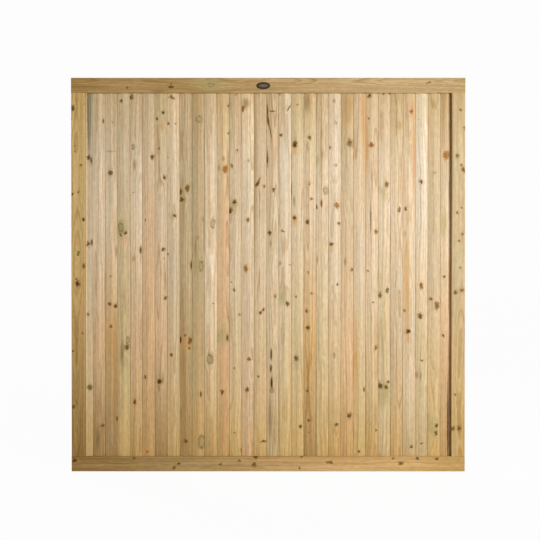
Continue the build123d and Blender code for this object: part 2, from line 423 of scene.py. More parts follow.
        (272, 391.3, 3, 4, "grey"),
        (274, 434, 0.8, 36, "shade"),
    ]),
    "board_17": Timber("honey straw chalk", (-9, 48), [
        (280.7, 134.9, 2.5, 3, "brown"),
        (288.8, 108.2, 1.3, 6, "brown", 35),
        (282.3, 230.7, 2, 2.5, "dark"),
        (279.4, 263.5, 3, 3, "grey"),
        (290, 265.1, 1.6, 1.6, "dark"),
        (281.8, 298, 8, 10, "moss"),
        (287.4, 304.3, 3, 4, "dark"),
        (277.8, 102, 1.7, 17, "crack"),
        (279.4, 94.3, 2, 2.5, "shade"),
        (278.1, 217.5, 1.8, 15, "crack"),
    ]),
    "board_18": Timber("honey sand straw moss", (16, 39), [
        (297.5, 104.5, 1.5, 1.5, "brown"),
        (294.7, 138.5, 3, 7, "moss"),
        (294.7, 144.5, 4, 5, "black"),
        (294.7, 151, 4, 7, "gold"),
        (291.4, 190.5, 1.3, 13, "crack"),
        (294, 201, 2, 8, "shade"),
        (294.5, 217.9, 3.2, 3.6, "dark"),
        (294.5, 221, 5, 8, "gold"),
        (296.2, 297.1, 1.5, 1.5, "dark"),
        (296.7, 358.7, 3.2, 4.4, "dark"),
        (296.7, 365, 3, 6, "moss"),
        (293.8, 436, 1.5, 8, "gold"),
        (300.5, 427.8, 2.5, 3, "dark"),
    ]),
    "board_19": Timber("umber rosy straw sand", (-11, 33), [
        (307, 102, 6, 16, "shade"),
        (313.8, 94.8, 3, 4, "gold"),
        (309.7, 137.4, 2.5, 3, "dark"),
        (304.8, 138.5, 3, 3, "pale"),
        (309.6, 183.2, 1.5, 3, "dark"),
        (311.5, 198.9, 2, 3, "brown"),
        (307.2, 222, 2.8, 4, "dark"),
        (308.1, 272.7, 1.5, 1.5, "dark"),
        (311.5, 293.8, 2, 2, "dark"),
        (306.5, 311, 2.5, 3, "brown"),
        (308.1, 328.2, 3, 3.5, "black"),
        (307.5, 391.5, 1.5, 1.5, "dark"),
        (309.3, 421.1, 2.5, 2.5, "dark"),
        (309.6, 433.3, 1.5, 1.5, "red"),
    ]),
    "board_20": Timber("honey sand straw oat", (7, 45), [
        (321.5, 140, 1.4, 100, "tan"),
        (321.8, 133.6, 1.5, 8, "shade"),
        (322.2, 154.1, 2, 8, "shade"),
        (318.2, 161.3, 3, 8, "moss"),
        (325.8, 190.3, 4, 6, "grey"),
        (316.9, 207.2, 2, 3, "dark"),
        (321.5, 203.4, 1.8, 6, "brown"),
        (317.3, 259.8, 1, 8, "shade"),
        (324.9, 358.7, 4, 6, "pale"),
    ]),
    "board_21": Timber("amber straw chalk", (-4, 41), [
        (334, 101, 2.5, 3, "grey"),
        (335.8, 122.6, 2, 3, "grey"),
        (330, 147.9, 2, 2.6, "brown"),
        (335.8, 165.3, 2.2, 2.2, "grey"),
        (337.2, 205.5, 4, 5, "orange"),
        (339.5, 223.7, 2, 2.5, "brown"),
        (331.1, 244.6, 3, 3, "dark"),
        (331.1, 249, 3, 6, "gold"),
        (337.4, 284.9, 1.4, 1.4, "brown"),
        (334.3, 355.8, 2, 5, "grey"),
        (336.5, 425.4, 3, 3, "dark"),
    ]),
    "board_22": Timber("rosy pink oat grey", (11, 60), [
        (344.3, 124.5, 2, 6, "gold"),
        (348, 108, 8, 32, "tan"),
        (342.5, 139.9, 2, 5, "moss"),
        (349.2, 142.5, 4.5, 7, "brown"),
        (345.3, 261.7, 2, 6, "shade"),
        (352, 269.9, 2, 3, "dark"),
        (349.4, 416.6, 4, 4.5, "dark"),
    ]),
    "board_23": Timber("honey straw oat", (-16, 38), [
        (353.8, 158, 1, 7, "shade"),
        (364.8, 140, 2.6, 95, "gold"),
        (363.2, 115, 2.4, 46, "flame"),
        (356, 362, 4, 65, "gold"),
        (359, 452.5, 2, 3, "brown"),
        (364.2, 390.3, 1.5, 4, "dark"),
    ]),
    "board_24": Timber("amber straw oat", (6, 43), [
        (367.3, 149, 2.2, 44, "flame"),
        (369.4, 95.2, 3.4, 3.2, "black"),
        (368.8, 118.4, 2, 2, "brown"),
        (371.3, 145, 4.5, 4, "red"),
        (372.3, 178, 1, 22, "shade"),
        (370.8, 218.5, 0.8, 25, "crack"),
        (376, 231.9, 3, 3.5, "red"),
        (367.5, 271.2, 2.4, 1.6, "orange"),
        (373.4, 302.9, 1.5, 1.5, "dark"),
        (376.2, 348.2, 3, 4, "brown"),
        (376.2, 431.4, 2, 2, "brown"),
    ]),
    "board_25": Timber("sand sand straw oat", (-13, 47), [
        (383.6, 93.5, 2.5, 1.5, "dark"),
        (389.5, 94, 1.5, 1.5, "dark"),
        (386.8, 184.3, 3.5, 5, "brown"),
        (382.5, 192, 10, 5, "moss", 50),
        (380.3, 295.4, 3, 5, "brown"),
        (387.5, 290.6, 3, 5, "olive"),
        (384, 395, 10, 16, "moss"),
        (380.6, 386.4, 4, 5, "dark"),
        (386.2, 387.7, 3, 4, "dark"),
        (388.7, 382.9, 2, 2, "dark"),
    ]),
    "board_26": Timber("amber oat straw grey", (4, 36), [
        (399, 125, 6, 7, "tan"),
        (399.5, 209.6, 2.5, 5, "olive"),
    ]),
    "board_27": Timber("sand straw straw oat", (-7, 42), [
        (404.5, 184, 1.5, 27, "gold"),
        (413.8, 152, 2.2, 64, "flame"),
        (411.8, 109, 3, 16, "flame"),
        (411.4, 111, 3, 3.8, "red"),
        (408.6, 141.6, 3, 4, "pale"),
        (405.6, 208.9, 1.5, 3, "dark"),
        (405.4, 234.1, 1.5, 5, "shade"),
        (406.5, 286, 5, 90, "gold"),
        (408.6, 331.9, 4, 3.5, "black"),
        (408.6, 338, 2, 9, "flame"),
        (404.6, 311.1, 2, 2.5, "brown"),
        (411.6, 447.7, 2, 2, "dark"),
    ]),
    "board_28": Timber("sand sand chalk chalk", (17, 46), [
        (421.3, 181.8, 3, 3.5, "dark"),
        (421.4, 286.2, 3, 6, "red"),
        (420.4, 316.4, 3.5, 5, "dark"),
        (422.3, 361.1, 2, 2, "brown"),
        (417.1, 375.9, 3, 5, "shade"),
        (420.9, 376.4, 1.5, 6, "shade"),
        (421.6, 444.5, 2, 2, "dark"),
        (418.8, 119.3, 1, 1, "dark"),
    ]),
    "board_29": Timber("honey oat grey", (-3, 39), [
        (434.5, 172.4, 3, 3, "grey"),
        (431.1, 299.5, 3, 2.5, "brown"),
        (437, 306.1, 4, 7, "brown"),
        (431.4, 428, 10, 16, "moss"),
        (436.7, 426.6, 2, 4, "dark"),
        (436.7, 434.3, 2.5, 4, "dark"),
    ]),
    "board_30": Timber("rosy pink straw dun", (13, 40), [
        (446.5, 155, 5, 7, "orange"),
        # painted shade on the board's right edge at its foot, widening the shadow in the channel
        (448.3, 425, 1.8, 80, "crack"),
        (444, 223.9, 4.5, 18, "moss"),
        (441.9, 224, 1.5, 16, "gold"),
        (444.2, 277, 2.4, 2.4, "dark"),
        (443.7, 336.3, 2.2, 2.4, "dark"),
    ]),
}

# Pressure-treated pine: sawn along the grain, planed, then soaked in a green preservative under
# pressure. That leaves it matt with a broad soft sheen, its fibres raised a little and the
# sapwood tinted green. The ends are darker and warmer with painted shade. Each year's growth
# ends in a darker band of late wood.
# Widths are across the grain and lengths are along it, in millimetres.
WOOD_SPECULAR = 0.15  # raw fibres scatter more than they mirror
EARLY_ROUGHNESS = 0.58
LATE_ROUGHNESS = 0.46  # late wood is denser, and planes smoother
END_ROUGHNESS = 0.25  # added where a saw cut across the fibres
RAISED_FIBRE = 0.4
FIBRE_RELIEF = 0.35  # how much of that the light shows
LATE_HEIGHT = 0.35  # how much late wood stands proud, beside a fibre
RING_WIDTH = 2.9  # one year's growth
RING_WANDER = 22.0  # how far the rings stray from side to side
WANDER_SCALE = (0.004, 0.004, 0.0016)  # per millimetre across, through and along
SPELL = 0.22  # fat and lean years come in spells of about five
SPELL_SHIFT = 5.0
LATE_RISE = (0.35, 0.88)  # the part of a year in which late wood comes on
LATE_FALL = (1.0, 0.9)  # the end of the year, where it stops
LATE_LEVELS = (0.25, 0.8)  # how dark the late wood of a year is, at least and at most
FIBRE_WIDTH = 0.9  # a bundle, drawn coarse to show: one fibre is 0.03 mm wide
FIBRE_LENGTH = 45 * FIBRE_WIDTH
FIBRE_LEVELS = (0.89, 1.11)  # lightness from the darkest to the palest
STREAK_WIDTH = 6.0
STREAK_LENGTH = 420.0
STREAK_LEVELS = (0.81, 1.17)
BAND_WIDTH = 1.25 * STREAK_WIDTH  # of the narrow bands of green and rose
BAND_LENGTH = 1.25 * STREAK_LENGTH
BAND_SHARE = 0.6  # of the bands in the drift, beside its broad patches
MOTTLE_WIDTH = 8.0
MOTTLE_LENGTH = 26.0
MOTTLE_LEVELS = (0.86, 1.14)
DRIFT_WIDTH = 33.0  # of the broad patches of green and rose
DRIFT_LENGTH = 400.0
DRIFT_EDGE = 0.14  # how far from the middle of the drift a tint is full
FLECK_WIDTH = 2.5  # the flecks and pits of knots, drawn coarse to show
FLECK_LENGTH = 4.0
FLECK_LEVELS = (0.75, 1.25)
END_SHADE_LENGTH = 300.0  # how far the painted shade reaches in from each end
# painted shade, multiplied in towards both ends of a timber: darker and a little warmer
END_SHADE_TINT = "#F6EFDF"
LATE_WOOD = "#D8BE97"
END_GRAIN = "#A58C62"
TREATMENT_GREEN = "#B9B08A"
GREEN_COVER = 0.35
HEARTWOOD_ROSE = "#DDB88C"
ROSE_COVER = 0.32
SAWN_END = (0.5, 0.8)  # how squarely a face has to look along the grain to show end grain
ARRIS_SLOPE = (0.2, 0.45)  # across times through, which is a half on a 45 degree bevel
ARRIS_WEAR = (0.85, 1.1, 0.75, 1.0, 0.92, 1.15, 0.8)  # lightness of the bevels, in turn
SEED_STEP = Vector((137.0, 61.0, 911.0))  # sets one timber's noises apart from the next's

# The reach of a mark, with its own edge at one
PUSH_REACH = (3.6, 0.3)  # where the grain starts to bend, and where it bends most
HALO_REACH = (2.6, 0.6)  # where the halo starts, and where it is full
RIM_WIDTH = 0.38
STOUT = 2.2  # a knot under this many widths tall is ragged; a taller one would come apart
KNOT_RAGGEDNESS = 24.0
FLAW_RAGGEDNESS = 5.0  # of cracks, stains and tall knots
RAGGED_SCALE = 0.12  # per millimetre, so an edge wanders about every 8 mm
KNOT_LEAN = 0.5  # a knot lies this much higher for each millimetre it is further back


def mark_group():
    """One knot or mark: it pushes the grain aside and paints its halo, rim and heart."""
    inputs = {"Place": "Vector", "Middle": "Vector", "Half Size": "Vector", "Turn": "Float"}
    inputs |= {"Heart": "Color", "Rim": "Color", "Halo": "Color"}
    inputs |= {"Heart Cover": "Float", "Rim Cover": "Float", "Halo Cover": "Float"}
    inputs |= {"Softness": "Float", "Push": "Float"}
    outputs = {"Sideways": "Float", "Paint": "Color", "Cover": "Float"}
    tree, given, out = new_group("Mark", "ShaderNodeTree", inputs | outputs, outputs)
    offset = add(tree, VECTOR, {0: given["Place"], 1: given["Middle"]}, operation="SUBTRACT")
    radius = mark_radius(tree, given, offset)
    parts = mark_parts(tree, given, radius)
    paint, cover = given["Paint"], given["Cover"]
    for name, part in parts.items():
        paint = add(tree, MIX, {0: part, 1: paint, 2: given[name]}, data_type="RGBA")
        cover = add(tree, MIX, {0: part, 1: cover, 2: 1.0}, data_type="FLOAT")
    start, end = PUSH_REACH
    reach = {"Value": radius, "From Min": start, "From Max": end, "To Max": given["Push"]}
    reach = add(tree, RANGE, reach, interpolation_type="SMOOTHERSTEP")
    across = add(tree, SEPARATE, {0: offset}).outputs["X"]
    pushed = add(tree, MATH, {0: across, 1: reach}, operation="MULTIPLY")
    sideways = add(tree, MATH, {0: given["Sideways"], 1: pushed}, operation="SUBTRACT")
    feed(tree, out, {"Sideways": sideways, "Paint": paint, "Cover": cover})
    return tree


def mark_radius(tree, given, offset):
    """Distance from a mark's middle on the timber's face, with its edge at one."""
    flat = add(tree, VECTOR, {0: offset, 1: (1, 0, 1)}, operation="MULTIPLY")
    angle = {"Vector": flat, "Angle": given["Turn"]}
    turned = add(tree, "ShaderNodeVectorRotate", angle, rotation_type="Y_AXIS")
    scaled = add(tree, VECTOR, {0: turned, 1: given["Half Size"]}, operation="DIVIDE")
    return add(tree, VECTOR, {0: scaled}, operation="LENGTH").outputs["Value"]


def mark_parts(tree, given, radius):
    """How much of the halo, the heart and the rim shows at a distance from the middle."""
    inner = add(tree, MATH, {0: 1.0, 1: given["Softness"]}, operation="SUBTRACT")
    outer = add(tree, MATH, {0: 1.0, 1: given["Softness"]}, operation="ADD")
    away = add(tree, MATH, {0: radius, 1: 1.0}, operation="SUBTRACT")
    away = add(tree, MATH, {0: away}, operation="ABSOLUTE")
    spans = {"Halo": (radius, *HALO_REACH), "Heart": (radius, outer, inner)}
    spans["Rim"] = (away, RIM_WIDTH, 0.0)
    parts = {}
    for name, (value, start, end) in spans.items():
        span = {"Value": value, "From Min": start, "From Max": end}
        span["To Max"] = given[name + " Cover"]
        parts[name] = add(tree, RANGE, span, interpolation_type="SMOOTHSTEP")
    return parts


def pine_group():
    """The wood itself: rings round a wandering pith, streaks, fibres, end grain and arrises."""
    inputs = {"Place": "Vector", "Normal": "Vector", "Pith": "Vector", "Tone": "Color"}
    inputs["Arris Wear"] = "Float"
    outputs = {"Colour": "Color", "Late Wood": "Float", "Height": "Float", "End": "Float"}
    tree, given, out = new_group("Pine", "ShaderNodeTree", inputs, outputs)
    facing = add(tree, SEPARATE, {0: given["Normal"]})
    ends = add(tree, MATH, {0: facing.outputs["Z"]}, operation="ABSOLUTE")
    end = {"Value": ends, "From Min": SAWN_END[0], "From Max": SAWN_END[1]}
    end = add(tree, RANGE, end)
    late = late_wood(tree, given)
    fibre = stretched_noise(tree, given, FIBRE_WIDTH, FIBRE_LENGTH, 2.0)
    colour = {0: late, 1: wood_tone(tree, given, end), 2: linear(LATE_WOOD)}
    colour = add(tree, MIX, colour, data_type="RGBA", blend_type="MULTIPLY")
    streak = stretched_noise(tree, given, STREAK_WIDTH, STREAK_LENGTH, 4.0)
    mottle = stretched_noise(tree, given, MOTTLE_WIDTH, MOTTLE_LENGTH, 4.0)
    shades = [(streak, 0.25, STREAK_LEVELS), (fibre, 0.2, FIBRE_LEVELS)]
    shades.append((mottle, 0.25, MOTTLE_LEVELS))
    for noise, spread, (darkest, palest) in shades:
        level = {"Value": noise, "From Min": 0.5 - spread, "From Max": 0.5 + spread}
        level = add(tree, RANGE, level | {"To Min": darkest, "To Max": palest})
        colour = add(tree, VECTOR, {0: colour, "Scale": level}, operation="SCALE")
    worn = {0: planed_arris(tree, facing), 1: 1.0, 2: given["Arris Wear"]}
    worn = add(tree, MIX, worn, data_type="FLOAT")
    colour = add(tree, VECTOR, {0: colour, "Scale": worn}, operation="SCALE")
    height = add(tree, MATH, {0: late, 1: LATE_HEIGHT, 2: fibre}, operation="MULTIPLY_ADD")
    feed(tree, out, {"Colour": colour, "Late Wood": late, "Height": height, "End": end})
    return tree


def stretched_noise(tree, given, width, length, detail):
    """Noise drawn out along the grain."""
    scale = (1 / width, 1 / width, 1 / length)
    place = add(tree, VECTOR, {0: given["Place"], 1: scale}, operation="MULTIPLY")
    noise = {"Vector": place, "Scale": 1.0, "Detail": detail, "Roughness": 0.6}
    return add(tree, NOISE, noise).outputs[0]


def late_wood(tree, given):
    """The dark band of each year, which comes on slowly and ends at once, paler in some years."""
    slow = add(tree, VECTOR, {0: given["Place"], 1: WANDER_SCALE}, operation="MULTIPLY")
    wander = add(tree, NOISE, {"Vector": slow, "Scale": 1.0, "Detail": 3.0, "Roughness": 0.45})
    wander = {0: wander.outputs["Color"], 1: (0.5, 0.5, 0.5)}
    wander = add(tree, VECTOR, wander, operation="SUBTRACT")
    wander = add(tree, VECTOR, {0: wander, "Scale": RING_WANDER}, operation="SCALE")
    spot = add(tree, VECTOR, {0: given["Place"], 1: given["Pith"]}, operation="SUBTRACT")
    spot = add(tree, VECTOR, {0: spot, 1: wander}, operation="ADD")
    spot = add(tree, VECTOR, {0: spot, 1: (1, 1, 0)}, operation="MULTIPLY")
    distance = add(tree, VECTOR, {0: spot}, operation="LENGTH").outputs["Value"]
    years = add(tree, MATH, {0: distance, 1: RING_WIDTH}, operation="DIVIDE")
    pace = {"W": years, "Scale": SPELL, "Detail": 1.0}
    pace = add(tree, NOISE, pace, noise_dimensions="1D")
    years = add(tree, MATH, {0: pace, 1: SPELL_SHIFT, 2: years}, operation="MULTIPLY_ADD")
    season = add(tree, MATH, {0: years}, operation="FRACT")
    late = []
    for start, end in (LATE_RISE, LATE_FALL):
        part = {"Value": season, "From Min": start, "From Max": end}
        late.append(add(tree, RANGE, part, interpolation_type="SMOOTHSTEP"))
    late = add(tree, MATH, {0: late[0], 1: late[1]}, operation="MULTIPLY")
    year = add(tree, MATH, {0: years}, operation="FLOOR")
    depth = add(tree, "ShaderNodeTexWhiteNoise", {"W": year}, noise_dimensions="1D")
    depth = {"Value": depth, "To Min": LATE_LEVELS[0], "To Max": LATE_LEVELS[1]}
    return add(tree, MATH, {0: late, 1: add(tree, RANGE, depth)}, operation="MULTIPLY")


def wood_tone(tree, given, end):
    """The timber's tone, drifting between treatment green and heartwood rose."""
    broad = stretched_noise(tree, given, DRIFT_WIDTH, DRIFT_LENGTH, 3.0)
    band = stretched_noise(tree, given, BAND_WIDTH, BAND_LENGTH, 2.0)
    drift = add(tree, MIX, {0: BAND_SHARE, 1: broad, 2: band}, data_type="FLOAT")
    colour = {0: end, 1: given["Tone"], 2: linear(END_GRAIN)}
    colour = add(tree, MIX, colour, data_type="RGBA")
    tints = [(0.5 + DRIFT_EDGE, GREEN_COVER, TREATMENT_GREEN)]
    tints.append((0.5 - DRIFT_EDGE, ROSE_COVER, HEARTWOOD_ROSE))
    for edge, most, code in tints:
        amount = {"Value": drift, "From Min": 0.5, "From Max": edge, "To Max": most}
        colour = {0: add(tree, RANGE, amount), 1: colour, 2: linear(code)}
        colour = add(tree, MIX, colour, data_type="RGBA")
    return colour


def planed_arris(tree, facing):
    """How far a face is turned between the front and the side, as on a bevel."""
    slope = {0: facing.outputs["X"], 1: facing.outputs["Y"]}
    slope = add(tree, MATH, slope, operation="MULTIPLY")
    slope = add(tree, MATH, {0: slope}, operation="ABSOLUTE")
    slope = {"Value": slope, "From Min": ARRIS_SLOPE[0], "From Max": ARRIS_SLOPE[1]}
    return add(tree, RANGE, slope)


def grain_axes(name):
    """The object axes that run across and along a timber."""
    return ("Z", "X") if name.endswith("rail") else ("X", "Z")


def tone_ramp(tree, along, ends, tones):
    """The timber's tone from end to end, with painted shade darker and warmer towards both ends."""
    part = {"Value": along, "From Min": ends[0], "From Max": ends[1]}
    ramp = add(tree, "ShaderNodeValToRGB", {0: add(tree, RANGE, part)})
    stops = ramp.color_ramp.elements
    stops[0].position = 0.0
    stops[1].position = 1.0
    for number in range(1, len(tones) - 1):
        stops.new(number / (len(tones) - 1))
    for stop, tone in zip(stops, tones):
        stop.color = linear(TONES[tone])
    # painted shade, darker towards both ends
    away = add(tree, MATH, {0: along, 1: sum(ends) / 2}, operation="SUBTRACT")
    away = add(tree, MATH, {0: away}, operation="ABSOLUTE")
    half = (ends[1] - ends[0]) / 2
    end_shade = {"Value": away, "From Min": half - END_SHADE_LENGTH, "From Max": half}
    tone = {0: add(tree, RANGE, end_shade), 1: ramp.outputs["Color"], 2: linear(END_SHADE_TINT)}
    return add(tree, MIX, tone, data_type="RGBA", blend_type="MULTIPLY")


def marks_on(tree, timber, places, centre, upright):
    """All of a timber's marks: how far the grain is pushed, the paint and how much it covers."""
    sideways, paint, cover = 0.0, (0, 0, 0, 1), 0.0
    for column, row, width, height, kind, *turn in sorted(timber.marks, key=softest_first):
        x = (column - PHOTO_MIDDLE_X) * MM_PER_PIXEL_X
        z = (PHOTO_GROUND_Y - row) * MM_PER_PIXEL_Z
        wide, tall = width * MM_PER_PIXEL_X / 2, height * MM_PER_PIXEL_Z / 2
        heart, rim, halo, heart_cover, rim_cover, halo_cover, softness, push = MARKS[kind]
        ragged, even = places
        values = {"Place": ragged if push and height < STOUT * width else even}
        values["Turn"] = -math.radians(sum(turn))
        values["Middle"] = (x - centre, 0, z) if upright else (z - centre, 0, x)
        values["Half Size"] = (wide, 1, tall) if upright else (tall, 1, wide)
        values |= {"Heart": linear(heart), "Rim": linear(rim), "Halo": linear(halo)}
        values |= {"Heart Cover": heart_cover, "Rim Cover": rim_cover, "Halo Cover": halo_cover}
        values |= {"Softness": softness, "Push": push}
        values |= {"Sideways": sideways, "Paint": paint, "Cover": cover}
        sideways, paint, cover = add(tree, "ShaderNodeGroup", values, node_tree=MARK).outputs
    return sideways, paint, cover


def softest_first(mark):
    """Puts stains under knots and cracks."""
    return -MARKS[mark[4]][6]


def ragged_place(tree, grain, front, raggedness):
    """The place on a timber, shaken a little, and leaning back with the knots."""
    shake = add(tree, NOISE, {"Vector": grain, "Scale": RAGGED_SCALE, "Detail": 4.0})
    shake = {0: shake.outputs["Color"], 1: (0.5, 0.5, 0.5)}
    shake = add(tree, VECTOR, shake, operation="SUBTRACT")
    shake = add(tree, VECTOR, {0: shake, "Scale": raggedness}, operation="SCALE")
    depth = add(tree, SEPARATE, {0: grain}).outputs["Y"]
    depth = add(tree, MATH, {0: depth, 1: front}, operation="SUBTRACT")
    lean = add(tree, MATH, {0: depth, 1: -KNOT_LEAN}, operation="MULTIPLY")
    lean = add(tree, COMBINE, {2: lean})
    place = add(tree, VECTOR, {0: grain, 1: shake}, operation="ADD")
    return add(tree, VECTOR, {0: place, 1: lean}, operation="ADD")


def treated_pine(name, seed):
    """One timber's pine: the wood, with that timber's tones, pith, knots and stains."""
    material, tree, shader = new_material(f"pressure_treated_pine_{name}", WOOD_SPECULAR)
    timber = TIMBERS[name]
    across_axis, along_axis = grain_axes(name)
    low, high = (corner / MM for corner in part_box(name))
    centre = getattr((low + high) / 2, across_axis.lower())
    ends = [getattr(corner, along_axis.lower()) for corner in (low, high)]
    coordinates = add(tree, "ShaderNodeTexCoord").outputs
    place = {0: coordinates["Object"], "Scale": 1 / MM}
    place = add(tree, SEPARATE, {0: add(tree, VECTOR, place, operation="SCALE")}).outputs
    across = add(tree, MATH, {0: place[across_axis], 1: centre}, operation="SUBTRACT")
    grain = add(tree, COMBINE, {0: across, 1: place["Y"], 2: place[along_axis]})
    normal = add(tree, SEPARATE, {0: coordinates["Normal"]}).outputs
    normal = add(tree, COMBINE, {0: normal[across_axis], 1: normal["Y"], 2: normal[along_axis]})
    roughness = (KNOT_RAGGEDNESS, FLAW_RAGGEDNESS)
    places = [ragged_place(tree, grain, low.y, size) for size in roughness]
    sideways, paint, cover = marks_on(tree, timber, places, centre, along_axis == "Z")
    apart = seed * SEED_STEP
    bent = add(tree, VECTOR, {0: grain, 1: add(tree, COMBINE, {0: sideways})}, operation="ADD")
    bent = add(tree, VECTOR, {0: bent, 1: apart}, operation="ADD")
    wood = {"Place": bent, "Normal": normal, "Pith": Vector((*timber.pith, 0)) + apart}
    wood["Tone"] = tone_ramp(tree, place[along_axis], ends, timber.tones.split())
    wood["Arris Wear"] = ARRIS_WEAR[seed % len(ARRIS_WEAR)]
    pine = add(tree, "ShaderNodeGroup", wood, node_tree=PINE).outputs
    bare = add(tree, MATH, {0: 1.0, 1: cover}, operation="SUBTRACT")
    colour = add(tree, VECTOR, {0: pine["Colour"], "Scale": bare}, operation="SCALE")
    flecks = stretched_noise(tree, {"Place": grain}, FLECK_WIDTH, FLECK_LENGTH, 3.0)
    flecks = {"Value": flecks, "From Min": 0.3, "From Max": 0.7}
    flecks |= {"To Min": FLECK_LEVELS[0], "To Max": FLECK_LEVELS[1]}
    paint = {0: paint, "Scale": add(tree, RANGE, flecks)}
    paint = add(tree, VECTOR, paint, operation="SCALE")
    colour = add(tree, VECTOR, {0: colour, 1: paint}, operation="ADD")
    rough = {"Value": pine["Late Wood"], "To Min": EARLY_ROUGHNESS, "To Max": LATE_ROUGHNESS}
    rough = {0: pine["End"], 1: END_ROUGHNESS, 2: add(tree, RANGE, rough)}
    rough = add(tree, MATH, rough, operation="MULTIPLY_ADD")
    bump = {"Height": pine["Height"], "Strength": FIBRE_RELIEF}
    bump = add(tree, "ShaderNodeBump", bump | {"Distance": RAISED_FIBRE * MM})
    feed(tree, shader, {"Base Color": colour, "Roughness": rough, "Normal": bump})
    return material


# Dark enamel on cast zinc: poured on and baked, so it lies smooth with a satin gloss. Its sunk
# field is a shade paler than its rim, with a pale painted highlight across its middle.
ENAMEL = "#140D04"
ENAMEL_FIELD = "#2E2413"
ENAMEL_HIGHLIGHT = "#645940"
ENAMEL_SPECULAR = 0.3
ENAMEL_ROUGHNESS = (0.3, 0.45)
ENAMEL_MOTTLE = 400.0  # per metre: orange peel is finer, but wouldn't show
ENAMEL_LEVELS = (0.8, 1.2)
HIGHLIGHT_REACH = (1.1, 0.2)  # half widths from the middle, where the painted highlight starts and is full
HIGHLIGHT_FLATNESS = 2.0  # how much lower than wide the painted highlight is
RIM_ROUND = 0.3 * MM  # how deep the enamel keeps the rim's colour
SUNK_FIELD = 0.8 * MM  # how deep the field lies below the rim


def dark_enamel():
    """The badge's enamel, with nothing written on it."""
    material, tree, shader = new_material("dark_enamel", ENAMEL_SPECULAR)
    place = add(tree, "ShaderNodeTexCoord").outputs["Object"]
    mottle = {"Vector": place, "Scale": ENAMEL_MOTTLE, "Detail": 3.0}
    mottle = add(tree, NOISE, mottle).outputs[0]
    low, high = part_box("badge")
    half = (high - low) / 2
    offset = add(tree, VECTOR, {0: place, 1: (low + high) / 2}, operation="SUBTRACT")
    offset = {0: offset, 1: (1 / half.x, 0, HIGHLIGHT_FLATNESS / half.z)}
    offset = add(tree, VECTOR, offset, operation="MULTIPLY")
    radius = add(tree, VECTOR, {0: offset}, operation="LENGTH").outputs["Value"]
    # painted highlight: a pale, flattened patch across the middle of the field
    painted_highlight = {"Value": radius, "From Min": HIGHLIGHT_REACH[0], "From Max": HIGHLIGHT_REACH[1]}
    painted_highlight = add(tree, RANGE, painted_highlight, interpolation_type="SMOOTHSTEP")
    painted_highlight = {0: painted_highlight, 1: linear(ENAMEL_FIELD), 2: linear(ENAMEL_HIGHLIGHT)}
    painted_highlight = add(tree, MIX, painted_highlight, data_type="RGBA")
    y = add(tree, SEPARATE, {0: place}).outputs["Y"]
    field = {"Value": y, "From Min": low.y + RIM_ROUND, "From Max": low.y + SUNK_FIELD}
    field = {0: add(tree, RANGE, field), 1: linear(ENAMEL), 2: painted_highlight}
    colour = add(tree, MIX, field, data_type="RGBA")
    level = {"Value": mottle, "To Min": ENAMEL_LEVELS[0], "To Max": ENAMEL_LEVELS[1]}
    colour = {0: colour, "Scale": add(tree, RANGE, level)}
    colour = add(tree, VECTOR, colour, operation="SCALE")
    smooth, dull = ENAMEL_ROUGHNESS
    rough = add(tree, RANGE, {"Value": mottle, "To Min": smooth, "To Max": dull})
    bump = {"Height": mottle, "Strength": 0.1, "Distance": 0.1 * MM}
    bump = add(tree, "ShaderNodeBump", bump)
    feed(tree, shader, {"Base Color": colour, "Roughness": rough, "Normal": bump})
    return material


# Zinc-plated steel: rolled, then plated in a bath, so it is bright, cool and a little cloudy
ZINC_DULL = "#A9A79D"
ZINC_BRIGHT = "#C9C8C2"
ZINC_ROUGHNESS = (0.25, 0.5)
ZINC_CLOUD = 600.0  # per metre, drawn coarser than the bath's crystals to show


def zinc_plate():
    """The screws' plating."""
    material, tree, shader = new_material("zinc_plated_steel")
    place = add(tree, "ShaderNodeTexCoord").outputs["Object"]
    cloud = add(tree, NOISE, {"Vector": place, "Scale": ZINC_CLOUD, "Detail": 3.0}).outputs[0]
    colour = {0: cloud, 1: linear(ZINC_DULL), 2: linear(ZINC_BRIGHT)}
    colour = add(tree, MIX, colour, data_type="RGBA")
    smooth, dull = ZINC_ROUGHNESS
    rough = add(tree, RANGE, {"Value": cloud, "To Min": smooth, "To Max": dull})
    bump = {"Height": cloud, "Strength": 0.1, "Distance": 0.05 * MM}
    bump = add(tree, "ShaderNodeBump", bump)
    feed(tree, shader, {"Base Color": colour, "Metallic": 1.0, "Roughness": rough, "Normal": bump})
    return material


MARK = mark_group()
PINE = pine_group()
ZINC = zinc_plate()


def dress():
    """Gives every CAD node its finish."""
    enamel = dark_enamel()
    finishes = {"badge": enamel, "badge_pins": enamel}
    for seed, name in enumerate(TIMBERS, start=1):
        finishes[name] = treated_pine(name, seed)
    for name, finish in finishes.items():
        node = frame["nodes"][name]
        node.data.materials.clear()
        node.data.materials.append(finish)


# Corner screws: a countersunk head with a cross recess, and a rolled thread. Metres.
HEAD_RADIUS = 0.0049
HEAD_HEIGHT = 0.0032
SHANK_RADIUS = 0.0025
CORE_RADIUS = 0.0019  # under the thread
THREAD_RIDGE = 0.0006
THREAD_START = 0.040  # below the head's top
THREAD_PITCH = 0.0026
POINT_START = 0.103
SCREW_LENGTH = 0.110
RECESS_SPAN = 0.0052
RECESS_WIDTH = 0.0010
RECESS_DEPTH = 0.0020
SCREW_SIDES = 24
TURN_STEPS = 16  # points in one turn of the thread


def turned_part(tree, top, bottom, start, end):
    """A round length of a screw between two depths, with its radius at each."""
    cone = {"Vertices": SCREW_SIDES, "Radius Top": top, "Radius Bottom": bottom}
    cone = add(tree, "GeometryNodeMeshCone", cone | {"Depth": end - start})
    return add(tree, "GeometryNodeTransform", {"Geometry": cone, "Translation": (0, 0, -end)})


